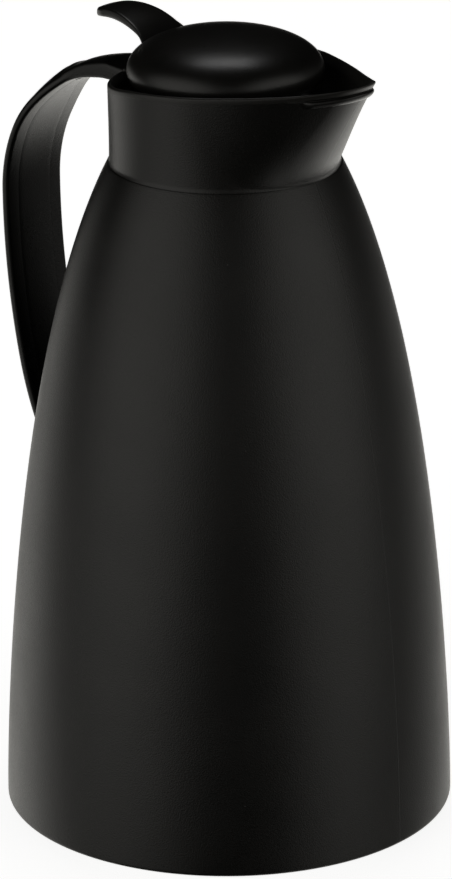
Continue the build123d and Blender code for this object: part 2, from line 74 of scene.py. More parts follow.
def turn_profile(name, profile, columns, closed=True):
    """A profile of (radius, height) turned about the axis: x = r cos a, y = r sin a."""
    angle = np.linspace(0, 2 * np.pi, columns, endpoint=False)
    r, z = profile[:, 0:1], profile[:, 1:2]
    points = np.stack([r * np.cos(angle), r * np.sin(angle), z + 0 * angle], axis=-1)
    return lay_surface(name, points, wrap_rows=closed, wrap_columns=True)


def ramp(x, start, end):
    """0 before start, 1 after end, with a smooth step between."""
    t = np.clip((x - start) / (end - start), 0, 1)
    return t * t * (3 - 2 * t)


def cubic_curve(corners, t):
    """The cubic curve of four control points: weights (1-t)^3, 3t(1-t)^2, 3t^2(1-t) and t^3."""
    a, b, c, d = corners
    return (1 - t) ** 3 * a + 3 * t * (1 - t) ** 2 * b + 3 * t * t * (1 - t) * c + t ** 3 * d


def smooth_line(x, knots):
    """A line through knots whose slope at each is that between its neighbours (cubic pieces)."""
    kx, ky = knots[:, 0], knots[:, 1]
    slope = np.gradient(ky, kx)
    x = np.clip(x, kx[0], kx[-1])
    i = np.clip(np.searchsorted(kx, x) - 1, 0, len(kx) - 2)
    h = kx[i + 1] - kx[i]
    t = (x - kx[i]) / h
    return ((2 * t ** 3 - 3 * t ** 2 + 1) * ky[i] + (t ** 3 - 2 * t ** 2 + t) * h * slope[i]
            + (3 * t ** 2 - 2 * t ** 3) * ky[i + 1] + (t ** 3 - t ** 2) * h * slope[i + 1])


def smooth_path(knots, count):
    """A curve of count points through knots in the side view, spaced by the knots' number."""
    steps = np.arange(len(knots))
    at = np.linspace(0, len(knots) - 1, count)
    return np.stack([smooth_line(at, np.column_stack([steps, knots[:, k]])) for k in (0, 1)],
                    axis=1)


def round_corner(corner, before, after, steps):
    """A rounded corner of a profile: the curve (1-t)^2 before + 2t(1-t) corner + t^2 after."""
    t = np.linspace(0, 1, steps)[:, None]
    before, corner, after = [np.array(point, float) for point in (before, corner, after)]
    return (1 - t) ** 2 * before + 2 * t * (1 - t) * corner + t ** 2 * after


def quarter_turn(across, outwards, radius, start, steps):
    """A quarter circle of a section, about a centre and from a start angle in degrees."""
    return [(across + radius * np.cos(a), outwards + radius * np.sin(a))
            for a in np.radians(start + np.linspace(0, 90, steps))]


def section_grids(loop, half):
    """A loop of (across, outwards) pairs as two grids, with one row for each value in half."""
    return [np.stack([pair[k] + 0 * half for pair in loop], axis=1) for k in (0, 1)]


def close_ends(points):
    """Adds a centre point at both ends, so that the ends close."""
    first = points[:1].mean(axis=1, keepdims=True) + 0 * points[:1]
    last = points[-1:].mean(axis=1, keepdims=True) + 0 * points[-1:]
    return np.concatenate([first, points, last])


# Bell-shaped casing: control points of its side curve, as radius and height
CASING_CURVE = np.array([(72.6, 0.0), (72.6, 20.0), (68.3, 152.6), (37.0, 214.0)])
FOOT_RADIUS, SHOULDER_RADIUS = CASING_CURVE[0, 0], CASING_CURVE[-1, 0]
SEAM_HEIGHT = 214.0
CASING_WALL, CASING_FLANGE, NECK_HOLE_RADIUS = 2.4, 2.6, 30.8
FOOT_ROUNDING, FOOT_INNER_ROUNDING, NECK_HOLE_BEVEL = 1.0, 0.8, 0.3
SHOULDER_IN, SHOULDER_DOWN = 0.1, 0.15
CLOSE_ROWS_BELOW, CLOSE_ROWS_ABOVE = 4, 205
casing_line = cubic_curve(CASING_CURVE, np.linspace(0, 1, 400)[:, None])


def casing_radius(height):
    """The casing's outer radius at a height, read from its side curve."""
    return np.interp(height, casing_line[:, 1], casing_line[:, 0])


def make_casing():
    """The casing turned from one closed profile: outer curve, top flange, wall and rounded foot.
    Its rows lie closer near the foot and the shoulder."""
    edge, flange_under = SEAM_HEIGHT - SHOULDER_DOWN, SEAM_HEIGHT - CASING_FLANGE
    heights = np.concatenate([np.linspace(FOOT_ROUNDING, CLOSE_ROWS_BELOW, 6)[:-1],
                              np.linspace(CLOSE_ROWS_BELOW, CLOSE_ROWS_ABOVE, 150)[:-1],
                              np.linspace(CLOSE_ROWS_ABOVE, edge, 14)])
    outer = np.stack([casing_radius(heights), heights], axis=1)
    top = round_corner((SHOULDER_RADIUS, SEAM_HEIGHT), outer[-1],
                       (SHOULDER_RADIUS - SHOULDER_IN, SEAM_HEIGHT), 3)
    hole = NECK_HOLE_RADIUS
    neck_hole = np.array([(hole + NECK_HOLE_BEVEL, SEAM_HEIGHT),
                          (hole, SEAM_HEIGHT - NECK_HOLE_BEVEL), (hole, flange_under)])
    heights = np.linspace(flange_under, FOOT_ROUNDING, 90)
    inner = np.stack([casing_radius(heights) - CASING_WALL, heights], axis=1)
    inner[0, 0] -= 0.3 * CASING_WALL
    foot = FOOT_RADIUS - CASING_WALL
    foot_in = round_corner((foot, 0.0), inner[-1], (foot + FOOT_INNER_ROUNDING, 0.0), 5)
    foot_out = round_corner((FOOT_RADIUS, 0.0), (FOOT_RADIUS - FOOT_ROUNDING, 0.0), outer[0], 7)
    profile = np.vstack([outer, top, neck_hole, inner, foot_in, foot_out[:-1]])
    return turn_profile("bell_casing", profile, columns=288)


# Collar with its spout, and the funnel that lines it. The table gives the radius of the round back,
# the reach of the spout and the radius of its tip, at four even heights from the seam to SPOUT_TOP.
SPOUT_TOP = 251.8
SPOUT_TABLE = np.array([(36.5, 37.1, 28.0), (36.5, 44.9, 20.0),
                        (36.7, 52.5, 13.5), (36.9, 60.7, 11.5)])
spout_fit = [np.polyfit(np.linspace(0, 1, 4), SPOUT_TABLE[:, k], 3) for k in range(3)]
FLANK_BLEND, FLANK_PULL = math.radians(9), 0.36
REAR_COLUMNS, FLANK_COLUMNS, TIP_COLUMNS = 132, 34, 56
COLUMN_STARTS = np.cumsum([0, REAR_COLUMNS, FLANK_COLUMNS, TIP_COLUMNS, FLANK_COLUMNS])

# The rim's height by the place along X. Rows that share the way to it end UP_END below it.
RIM_KNOTS = np.array([(-100, 238.6), (-34, 238.6), (-18, 240.9), (-8, 242.6), (4, 243.6),
                      (20, 244.4), (34, 245.3), (46, 246.5), (56, 248.3), (66, 251.4)])
UP_END, FIRST_HEIGHT, HEIGHT_ROUNDS = 6.0, 240.0, 12

# Collar, as (level, inset) pairs, where an inset leads in from the plan outline: a small flare at
# the seam, the groove under the rim, the inside. The spigot under it is round.
COLLAR_FLARE = [(213.96, -0.36), (214.2, -0.24), (214.5, -0.13), (214.8, -0.06), (215.1, -0.01)]
GROOVE = [(2.22, 0.0), (2.08, 0.08), (1.95, 0.3), (1.9, 0.45), (1.9, 1.2)]
GROOVE_FADE, GROOVE_SHALLOW = (39.5, 48.0), 0.5
COLLAR_INSIDE_TOP = [(3.0, 1.2), (5.0, 1.2), (8.0, 1.2)]
COLLAR_INSIDE = [(226.0, 1.2), (216.2, 1.2), (216.0, 1.6)]
SPIGOT_RADII, SPIGOT_HEIGHTS = (27.9, 27.9, 30.5, 30.5), (216.0, 205.0, 205.0, 214.0)
BEAD_DROP, BEAD_HALF_HEIGHT, BEAD_PROUD = 3.45, 1.15, 1.05
BEAD_FADE = (45.2, 46.4)

# Funnel, also as (level, inset) pairs: the flange on the collar's rim, the inner wall down to its
# floor, and the back. Then come the stopper's seat and the throat, as radii and heights.
FLANGE = [(1.88, 1.25), (1.88, 0.2), (1.8, 0.05), (1.65, 0.0), (0.9, 0.0), (0.55, 0.05),
          (0.28, 0.2), (0.08, 0.45), (0.0, 0.8), (0.05, 1.1), (0.22, 1.35), (0.5, 1.55),
          (0.9, 1.8), (1.4, 2.1), (2.0, 2.35), (2.4, 2.5), (3.0, 2.6), (4.2, 2.6), (6.0, 2.6)]
FLANGE_UNDERSIDE, FLANGE_EDGE = slice(0, 4), slice(4, 9)
EDGE_FADE, EDGE_TIGHTER = (40.0, 54.0), 0.55
FUNNEL_FLOOR = [(231.8, 2.6), (230.8, 2.75), (230.25, 3.2), (230.0, 4.0)]
FUNNEL_BACK, FUNNEL_BACK_TOP = [(228.0, 3.6), (228.0, 1.3), (231.0, 1.3)], [(6.0, 1.3), (2.2, 1.3)]
SEAT_RADII = (30.0, 29.7, 19.7, 19.5, 17.7, 17.5, 17.5, 20.9, 20.9, 31.2)
SEAT_HEIGHTS = (230.0, 229.8, 220.1, 219.9, 219.9, 219.7, 218.0, 218.0, 220.0, 228.0)

# Hinge lugs: the pin's place, the lugs' radius and root, and their inner and outer sides along Y
PIN_X, PIN_HEIGHT = -29.6, 236.4
LUG_RADIUS, LUG_ROOT, LUG_SIDES = 2.9, -34.4, (6.3, 9.5)
LUG_BEVEL, LUG_FLAT = 0.3, 0.88


def spout_plan(height, inset):
    """Plan of the collar at a grid of heights: a round back, flanks that straighten slowly and a
    round spout tip. A point of the back or tip is centre + (radius - inset)(cos a, sin a), where a
    is the wall's outward direction; a flank is a cubic curve that leaves one and meets the other
    along their tangents."""
    height, inset = np.broadcast_arrays(height, inset)
    share = (height - SEAM_HEIGHT) / (SPOUT_TOP - SEAM_HEIGHT)
    rear, reach, tip = [np.polyval(fit, share) for fit in spout_fit]
    centre = reach - tip
    lean = np.arccos(np.clip((rear - tip) / centre, -1, 1))
    back, near, front, distant = [slice(a, b) for a, b in zip(COLUMN_STARTS, COLUMN_STARTS[1:])]
    blend = np.minimum(FLANK_BLEND, 0.5 * lean)
    leave, meet = lean + blend, lean - blend
    rear, tip = rear - inset, tip - inset
    x, y = np.empty(height.shape), np.empty(height.shape)
    start = leave[:, back]
    direction = start + (2 * np.pi - 2 * start) * np.linspace(0, 1, REAR_COLUMNS)
    x[:, back], y[:, back] = rear[:, back] * np.cos(direction), rear[:, back] * np.sin(direction)
    direction = meet[:, front] * np.linspace(-1, 1, TIP_COLUMNS)
    x[:, front] = centre[:, front] + tip[:, front] * np.cos(direction)
    y[:, front] = tip[:, front] * np.sin(direction)
    along = np.linspace(0, 1, FLANK_COLUMNS + 2)[1:-1]
    for flank, t, side in ((near, along, -1), (distant, along[::-1], 1)):
        a, b = leave[:, flank], meet[:, flank]
        first = np.stack([rear[:, flank] * np.cos(a), rear[:, flank] * np.sin(a)])
        last = np.stack([centre[:, flank] + tip[:, flank] * np.cos(b), tip[:, flank] * np.sin(b)])
        pull = FLANK_PULL * np.hypot(*(last - first))
        second = first + pull * np.stack([np.sin(a), -np.cos(a)])
        third = last - pull * np.stack([np.sin(b), -np.cos(b)])
        curve = cubic_curve((first, second, third, last), t)
        x[:, flank], y[:, flank] = curve[0], side * curve[1]
    return x, y


def row_kind(kind, pairs):
    """Rows of one kind for spout_rows, from (level, inset) pairs."""
    return [(kind, level, inset) for level, inset in pairs]


def spout_rows(rows):
    """Points of the collar or funnel, for rows of (kind, level, inset). A "drop" counts down from
    the rim line, "up" is a share of the way from the seam to UP_END under the rim, and "at" is a
    plain height. A point's height moves it along X and so changes the rim above it, which is
    why the two are worked out in turns until they agree."""
    kind, level, inset = [np.array(column)[:, None] for column in zip(*rows)]
    height = np.full((len(rows), COLUMN_STARTS[-1]), FIRST_HEIGHT)
    for _ in range(HEIGHT_ROUNDS):
        x, y = spout_plan(height, inset)
        rim = smooth_line(x, RIM_KNOTS)
        shared = SEAM_HEIGHT + level * (rim - UP_END - SEAM_HEIGHT)
        height = np.where(kind == "drop", rim - level, np.where(kind == "up", shared, level))
    return x, y, height


def circle_rows(x, y, radii, heights):
    """Rows of circles whose points face the same way as the outline's last points."""
    away = np.arctan2(y[-1:], x[-1:])
    radii, heights = np.array(radii)[:, None], np.array(heights)[:, None]
    return np.stack([radii * np.cos(away), radii * np.sin(away), heights + 0 * away], axis=-1)


def fade_groove(x, y, z, rows):
    """Opens the groove under the rim at the spout and closes it behind: its edge rows, those
    that are set in by less than GROOVE_SHALLOW, get their inset times a ramp."""
    asked = np.array([inset for _, _, inset in rows])[:, None]
    shallow = (asked > 0) & (asked < GROOVE_SHALLOW)
    faded_x, faded_y = spout_plan(z, np.where(shallow, asked * ramp(x, *GROOVE_FADE), asked))
    return np.where(shallow, faded_x, x), np.where(shallow, faded_y, y)


def make_collar():
    """Collar and spout: plan outlines carried from the seam to the rim line, with the drip bead,
    a half ellipse that starts with a step on the spout's flanks, then inside down to the spigot."""
    turn = np.linspace(0, np.pi, 13)
    below = row_kind("at", COLLAR_FLARE)
    below += row_kind("up", [(share, 0.0) for share in np.linspace(0.06, 1, 42)])
    below += row_kind("drop", [(5.2, 0.0), (4.8, 0.0)])
    bead = row_kind("drop", [(BEAD_DROP + BEAD_HALF_HEIGHT * np.cos(a), 0.0) for a in turn])
    above = row_kind("drop", GROOVE + COLLAR_INSIDE_TOP) + row_kind("at", COLLAR_INSIDE)
    rows = below + bead + above
    x, y, z = spout_rows(rows)
    x, y = fade_groove(x, y, z, rows)
    proud = slice(len(below), len(below + bead))
    bulge = BEAD_PROUD * np.sin(turn)[:, None] * ramp(x[proud], *BEAD_FADE)
    x[proud], y[proud] = spout_plan(z[proud], -bulge)
    spigot = circle_rows(x, y, SPIGOT_RADII, SPIGOT_HEIGHTS)
    return lay_surface("spout_collar_shell", np.concatenate([np.stack([x, y, z], axis=-1), spigot]),
                       wrap_rows=True, wrap_columns=True, crease=38)


def make_funnel():
    """Funnel: the rim flange, whose edge is rounder behind than at the spout, the inner wall down
    to the floor, the stopper's seat, the throat and the back."""
    rows = row_kind("drop", FLANGE) + row_kind("at", FUNNEL_FLOOR)
    x, y, z = spout_rows(rows)
    under, edge = FLANGE_UNDERSIDE, FLANGE_EDGE
    x[under], y[under] = fade_groove(x[under], y[under], z[under], rows[under])
    insets = np.array([inset for _, _, inset in rows[edge]])[:, None]
    tighter = 1 - EDGE_TIGHTER * ramp(x[edge], *EDGE_FADE)
    x[edge], y[edge] = spout_plan(z[edge], insets * tighter)
    inside = np.stack([x, y, z], axis=-1)
    seat = circle_rows(x, y, SEAT_RADII, SEAT_HEIGHTS)
    back = spout_rows(row_kind("at", FUNNEL_BACK) + row_kind("drop", FUNNEL_BACK_TOP))
    return lay_surface("pouring_funnel_shell",
                       np.concatenate([inside, seat, np.stack(back, axis=-1)]),
                       wrap_rows=True, wrap_columns=True, crease=42)


def make_hinge_lug(name, side):
    """A lug for the hinge pin: a web whose free end is a half circle about the pin, carried
    along Y, with bevelled edges. Side is -1 or 1."""
    turn = np.linspace(-np.pi / 2, np.pi / 2, 19)
    round_end = np.stack([PIN_X + LUG_RADIUS * np.cos(turn),
                          PIN_HEIGHT + LUG_RADIUS * np.sin(turn)], 1)
    outline = np.vstack([[(LUG_ROOT, PIN_HEIGHT - LUG_RADIUS)], round_end,
                         [(LUG_ROOT, PIN_HEIGHT + LUG_RADIUS)]])
    middle = outline.mean(0)
    inner, outer = LUG_SIDES
    layers = [(0.0, inner), (LUG_FLAT, inner), (1.0, inner + LUG_BEVEL),
              (1.0, outer - LUG_BEVEL), (LUG_FLAT, outer), (0.0, outer)]
    rows = []
    for grow, away in layers:
        x, z = (middle + grow * (outline - middle)).T
        rows.append(np.column_stack([x, np.full(len(x), away * side), z]))
    return lay_surface(name, np.array(rows), wrap_columns=True)


# Lid: the dome's outer half profile is a cubic curve whose corners pull by DOME_FULLNESS,
# and its inner face is the same with a smaller radius and rise
DOME_RADIUS, DOME_EQUATOR, DOME_RISE, DOME_FULLNESS = 31.0, 243.7, 12.5, 0.59
DOME_WALL, DOME_FORWARD = 2.0, 0.5
LID_BASE = 240.4
BELLY_CORNER, BELLY_END = (DOME_RADIUS, 241.6), (29.9, 240.55)
RIM_CORNER, RIM_END = (29.6, LID_BASE), (29.2, LID_BASE)
PLATE_STEP = np.array([(27.7, LID_BASE), (27.7, 242.3), (26.4, 242.3), (26.4, 243.6)])

# Thumb lever: its top and under lines are circles in the side view, as (x, height, radius).
# Its half width grows from tip to root and flares where it meets the dome, over ranges of X.
LEVER_TOP = (-42.3, 231.0, 25.8)
LEVER_UNDER = (-41.85, 220.0, 33.9)
LEVER_TIP, LEVER_ROOT = -51.6, -24.0
LEVER_THINNEST, LEVER_ROUNDING, LEVER_END = 1.2, 0.95, 6.2
LEVER_HALF_TIP, LEVER_HALF_ROOT, LEVER_WIDENS = 6.4, 9.8, (-50, -22)
LEVER_FLARE, LEVER_FLARES = 1.3, (-28.5, -23.5)
LEVER_CROWN, LEVER_TIP_THICKNESS = 0.35, 0.35


def dome_cap(radius, rise, share):
    """Half of a dome's profile above its equator, at shares from the equator to the top."""
    full_height, top = DOME_EQUATOR + DOME_FULLNESS * rise, DOME_EQUATOR + rise
    corners = np.array([(radius, DOME_EQUATOR), (radius, full_height),
                        (DOME_FULLNESS * radius, top), (0, top)])
    return cubic_curve(corners, share[:, None])


def make_dome():
    """The lid's dome turned from one profile: the cap above, the belly under its equator, the
    lower rim, the step that holds the lid plate and the inner face."""
    upper = dome_cap(DOME_RADIUS, DOME_RISE, np.linspace(1, 0, 90))
    belly = round_corner(BELLY_CORNER, (DOME_RADIUS, DOME_EQUATOR), BELLY_END, 16)[1:]
    rim = round_corner(RIM_CORNER, BELLY_END, RIM_END, 5)[1:]
    inner = dome_cap(DOME_RADIUS - DOME_WALL, DOME_RISE - DOME_WALL, np.linspace(0, 1, 40))
    profile = np.vstack([upper, belly, rim, PLATE_STEP, inner])
    dome = turn_profile("lid_dome", profile, columns=224, closed=False)
    dome.data.transform(Matrix.Translation((DOME_FORWARD * MM, 0, 0)))
    return dome


def make_lever():
    """The lever: sections with rounded edges from root to tip. Over LEVER_END from the tip the
    width is sqrt(1 - (1 - t)^2) of itself, a round end, and it flares where it meets the dome.
    The top is crowned."""
    x = LEVER_ROOT + (LEVER_TIP - LEVER_ROOT) * np.sin(np.linspace(0, 1, 90) * np.pi / 2) ** 0.9
    top, under = [height + np.sqrt(radius ** 2 - (x - middle) ** 2)
                  for middle, height, radius in (LEVER_TOP, LEVER_UNDER)]
    under = np.minimum(under, top - LEVER_THINNEST)
    from_tip = np.clip((x - LEVER_TIP) / LEVER_END, 0, 1)
    roundness = np.sqrt(np.clip(1 - (1 - from_tip) ** 2, 0, 1))
    half = LEVER_HALF_TIP + (LEVER_HALF_ROOT - LEVER_HALF_TIP) * ramp(x, *LEVER_WIDENS)
    half = roundness * (half + LEVER_FLARE * ramp(x, *LEVER_FLARES))
    full = np.clip(roundness * 1.25, 0, 1)
    thick = (top - under) * (LEVER_TIP_THICKNESS + (1 - LEVER_TIP_THICKNESS) * full)
    middle = (top + under) / 2
    curl = np.minimum(np.minimum(LEVER_ROUNDING, thick / 2.05), half)
    loop = []
    for face, start in ((1, 0), (-1, 180)):
        edge, level = face * (half - curl), middle + face * (thick / 2 - curl)
        loop += quarter_turn(edge, level, curl, start, 7)
        loop += [(s * edge, middle + face * thick / 2) for s in np.linspace(1, -1, 15)[1:-1]]
        loop += quarter_turn(-edge, level, curl, start + 90, 7)
    y, z = section_grids(loop, half)
    crown = 1 - (y / np.maximum(half, 0.01)[:, None]) ** 2
    crown = LEVER_CROWN * crown * roundness[:, None]
    z = z + np.where(z > middle[:, None], crown, -0.4 * crown)
    points = np.stack([x[:, None] + 0 * y, y, z], axis=-1)
    return lay_surface("thumb_lever", close_ends(points), wrap_columns=True, crease=50)


# Handle: its outer line is a large circle below and a small one above, then the solid head.
# The inner line runs STRAP_DEPTH inside the circles. Circles are (middle, radius, degrees).
# HEAD_STOP_RADIUS is the collar's round, on which the head ends.
STRAP_DEPTH = 3.0
HANDLE_CIRCLES = (
    (np.array([171.9, 190.0]), 258.0, np.linspace(-26.5, 0, 90)[:-1]),
    (np.array([-36.1, 190.0]), 50.0, np.linspace(0, 56, 60)),
)
HEAD_OUTER = np.array([(-64.06, 231.45), (-62.2, 233.2), (-60.0, 234.6), (-57.6, 235.9),
                       (-54.8, 237.1), (-51.5, 238.1), (-48.0, 238.9), (-45.6, 239.35)])
HEAD_INNER = np.array([(-62.4, 228.97), (-60.6, 230.0), (-58.0, 231.1), (-55.2, 232.0),
                       (-52.0, 232.7), (-49.0, 233.2), (-47.6, 233.4), (-46.6, 233.5)])
HEAD_OUTER_END = [(-44.9, 239.42), (-44.2, 239.45), (-43.4, 239.4), (-42.4, 239.3),
                  (-41.2, 239.15), (-39.8, 239.0), (-38.2, 238.85), (-35.8, 238.7)]
HEAD_INNER_END = [(-46.4, 233.5), (-46.2, 233.55), (-45.8, 233.6), (-45.3, 233.6),
                  (-44.8, 233.6), (-43.0, 233.6), (-39.6, 233.6), (-35.8, 233.6)]
HEAD_STEPS = 26
HEAD_STOP_RADIUS, HEAD_STOP_FROM = 36.72, 226.0
STRAP_HALF_ENDS, STRAP_HALF_BACK, STRAP_WIDENS = 7.5, 13.0, (60, 80)
STRAP_ROUNDING, LIP_ROUNDING, LIP_EDGE = 1.7, 1.25, 0.03
STRAP_CROWN, HEAD_CROWN = 2.4, 0.5
LIP_WIDTH, CHANNEL_LEAST_HALF = 5.6, 1.2
CHANNEL_DEPTH, LINER_DEPTH, LINER_GAP, LINER_BULGE = 1.9, 1.8, 0.02, 0.12
STRAP_SEAT_GAP, LINER_SEAT_GAP = 0.08, 0.12


def handle_lines():
    """Outer and inner lines of the handle in the side view, and the number of the row where
    its head starts."""
    outer, inner = [], []
    for middle, radius, degrees in HANDLE_CIRCLES:
        turn = np.radians(degrees)
        way = np.stack([-np.cos(turn), np.sin(turn)], axis=1)
        outer.append(middle + radius * way)
        inner.append(middle + (radius - STRAP_DEPTH) * way)
    first_head = sum(len(arc) for arc in outer)
    outer += [smooth_path(HEAD_OUTER, HEAD_STEPS)[1:], HEAD_OUTER_END]
    inner += [smooth_path(HEAD_INNER, HEAD_STEPS)[1:], HEAD_INNER_END]
    return np.vstack(outer), np.vstack(inner), first_head


def handle_widths(outer):
    """Half width of the handle, full at its back and narrower towards its ends, and how far
    the strap's lips reach in over the channel."""
    widening = ramp(-outer[:, 0], *STRAP_WIDENS)
    half = STRAP_HALF_ENDS + (STRAP_HALF_BACK - STRAP_HALF_ENDS) * widening
    return half, np.minimum(LIP_WIDTH, half - CHANNEL_LEAST_HALF)


def carry_section(outer, inner, across, outwards):
    """Sections set across a path: outwards leads from the inner line to the outer one, and
    across goes along Y."""
    unit = (outer - inner) / np.hypot(*(outer - inner).T)[:, None]
    x = inner[:, 0:1] + outwards * unit[:, 0:1]
    z = inner[:, 1:2] + outwards * unit[:, 1:2]
    return np.stack([x, across, z], axis=-1)


def seat_on_casing(points, gap):
    """Points inside the casing are moved straight out to its surface, plus a gap."""
    reach = np.hypot(points[..., X], points[..., Y])
    limit = casing_radius(points[..., Z]) + gap
    inside = (reach < limit) & (points[..., Z] < SEAM_HEIGHT)
    grow = np.where(inside, limit / np.maximum(reach, 1e-6), 1.0)
    return points * np.stack([grow, grow, np.ones_like(grow)], axis=-1)


def end_on_collar(points):
    """Points of the head inside the collar's round are moved back along X to it."""
    x, y, z = points[..., X], points[..., Y], points[..., Z]
    meets = (z > HEAD_STOP_FROM) & (np.hypot(x, y) < HEAD_STOP_RADIUS)
    stop = -np.sqrt(np.clip(HEAD_STOP_RADIUS ** 2 - y ** 2, 1, None))
    return np.stack([np.where(meets, stop, x), y, z], axis=-1)


def make_strap():
    """The strap and its head in one sweep of a section with crowned back, rounded edges and a
    channel in its inner face: crown and channel fade out where the solid head begins."""
    outer, inner, first_head = handle_lines()
    half, lip = handle_widths(outer)
    depth = np.hypot(*(outer - inner).T)
    steps = np.arange(len(outer))
    fade = 1 - ramp(steps, first_head - 4, first_head + 10)
    crown = STRAP_CROWN * fade + HEAD_CROWN * (1 - fade)
    channel = CHANNEL_DEPTH * (1 - ramp(steps, first_head - 2, first_head + 1))
    back, curl, small = half - STRAP_ROUNDING, STRAP_ROUNDING, LIP_ROUNDING
    mouth = half - lip
    loop = quarter_turn(back, depth - curl, curl, 0, 6)
    loop += [(s * back, depth + crown * (1 - s * s)) for s in np.linspace(1, -1, 25)[1:-1]]
    loop += quarter_turn(-back, depth - curl, curl, 90, 6)
    loop += quarter_turn(-(half - small), small, small, 180, 5)
    loop += [(-mouth - LIP_EDGE, 0), (-mouth, LIP_EDGE), (-mouth, channel), (0, channel),
             (mouth, channel), (mouth, LIP_EDGE), (mouth + LIP_EDGE, 0)]
    loop += quarter_turn(half - small, small, small, 270, 5)
    across, outwards = section_grids(loop, half)
    points = seat_on_casing(carry_section(outer, inner, across, outwards), STRAP_SEAT_GAP)
    return lay_surface("handle_strap_shell", end_on_collar(close_ends(points)), wrap_columns=True,
                       crease=42)


def make_liner():
    """The liner that closes the strap's channel: a plate with a slightly bulged face and small
    round edges, which leaves a hairline gap to the lips."""
    outer, inner, first_head = handle_lines()
    outer, inner = outer[:first_head + 1], inner[:first_head + 1]
    half, lip = handle_widths(outer)
    half = half - lip - LINER_GAP
    flat, curl = half - LIP_EDGE, LIP_EDGE
    loop = [(half, LINER_DEPTH), (0, LINER_DEPTH), (-half, LINER_DEPTH)]
    loop += quarter_turn(-flat, curl, curl, 180, 5)
    loop += [(s * flat, -LINER_BULGE * (1 - s * s)) for s in np.linspace(-1, 1, 9)[1:-1]]
    loop += quarter_turn(flat, curl, curl, 270, 5)
    across, outwards = section_grids(loop, half)
    points = seat_on_casing(carry_section(outer, inner, across, outwards), LINER_SEAT_GAP)
    return lay_surface("handle_liner_panel", close_ends(points), wrap_columns=True, crease=45)


# Finishes: lengths in metres, cloud scales per metre
# The blacks wander between a dark and a pale share of their tone, both a little warm.
WARM_DARK, WARM_PALE = (0.78, 0.75, 0.66), (1.32, 1.24, 1.08)
PARTING_WIDTH = 0.00022
DUST_SCALE, DUST_RADIUS, DUST_TONE = 150.0, 0.00016, (0.06, 0.06, 0.058, 1)


def start_finish(name):
    """A new material: its node tree, its shader and its Object coordinates."""
    finish = bpy.data.materials.new(name)
    finish.use_nodes = True
    tree = finish.node_tree
    place = tree.nodes.new("ShaderNodeTexCoord").outputs["Object"]
    return finish, tree, tree.nodes["Principled BSDF"], place


def put(tree, kind, inputs, **settings):
    """A node with its settings; each input is a plain value or the socket that feeds it."""
    node = tree.nodes.new("ShaderNode" + kind)
    for key, value in settings.items():
        setattr(node, key, value)
    for key, value in inputs.items():
        if isinstance(value, bpy.types.NodeSocket):
            tree.links.new(value, node.inputs[key])
        else:
            node.inputs[key].default_value = value
    return node


def cloudy(tree, place, scale, low, high, detail=2.0):
    """A value that wanders between low and high, with clouds 1/scale metres wide."""
    noise = put(tree, "TexNoise", {"Vector": place, "Scale": scale, "Detail": detail})
    spread = put(tree, "MapRange", {"Value": noise.outputs["Fac"], "From Min": 0.3,
                                    "From Max": 0.7, "To Min": low, "To Max": high})
    return spread.outputs["Result"]


def arithmetic(tree, operation, first, second):
    """The result of one operation on two values."""
    return put(tree, "Math", {0: first, 1: second}, operation=operation).outputs["Value"]


def two_tones(tree, share, dark, pale):
    """A colour between dark and pale."""
    mix = put(tree, "Mix", {"Factor": share, "A": (*dark, 1), "B": (*pale, 1)}, data_type="RGBA")
    return mix.outputs["Result"]


def near_plane(tree, place, axis, width):
    """1 within a thin line about the plane where one coordinate is zero, else 0."""
    away = put(tree, "SeparateXYZ", {"Vector": place}).outputs[axis]
    away = arithmetic(tree, "ABSOLUTE", away, 0.0)
    line = put(tree, "MapRange", {"Value": away, "From Min": width * 0.4, "From Max": width,
                                  "To Min": 1.0, "To Max": 0.0}, interpolation_type="SMOOTHSTEP")
    return line.outputs["Result"]


def dust(tree, place, scale, radius):
    """1 inside rare round specks of a radius in metres, else 0."""
    cells = put(tree, "TexVoronoi", {"Vector": place, "Scale": scale})
    return arithmetic(tree, "LESS_THAN", cells.outputs["Distance"], radius * scale)


def feed_shader(tree, shader, colour, rough, bump, levels):
    """Feeds a shader its colour, roughness and bump, and sets its other levels."""
    tree.links.new(colour, shader.inputs["Base Color"])
    tree.links.new(rough, shader.inputs["Roughness"])
    tree.links.new(bump.outputs["Normal"], shader.inputs["Normal"])
    for key, level in levels.items():
        shader.inputs[key].default_value = level


def moulded_black(name, tone, gloss, grain, shine=0.4, dusty=True, parting=False):
    """Black plastic: slow changes of tone and gloss, a fine grain in the bump, a few faint specks
    of dust, and where the mould's halves met a low raised line along the plane of the spout."""
    finish, tree, shader, place = start_finish(name)
    share = cloudy(tree, place, 55.0, 0.0, 1.0)
    colour = two_tones(tree, share, [tone * v for v in WARM_DARK], [tone * v for v in WARM_PALE])
    rough = arithmetic(tree, "ADD", cloudy(tree, place, 38.0, gloss - 0.025, gloss + 0.025),
                       cloudy(tree, place, 1400.0, -0.03, 0.03))
    height = cloudy(tree, place, 2300.0, 0.0, 1.0, 3.0)
    if parting:
        line = near_plane(tree, place, "Y", PARTING_WIDTH)
        height = arithmetic(tree, "ADD", height, arithmetic(tree, "MULTIPLY", line, 1.6))
    if dusty:
        speck = dust(tree, place, DUST_SCALE, DUST_RADIUS)
        pale = put(tree, "Mix", {"Factor": speck, "A": colour, "B": DUST_TONE}, data_type="RGBA")
        colour = pale.outputs["Result"]
        rough = arithmetic(tree, "MAXIMUM", rough, arithmetic(tree, "MULTIPLY", speck, 0.8))
    bump = put(tree, "Bump", {"Height": height, "Strength": 0.35, "Distance": grain})
    feed_shader(tree, shader, colour, rough, bump, {"Specular IOR Level": shine})
    return finish


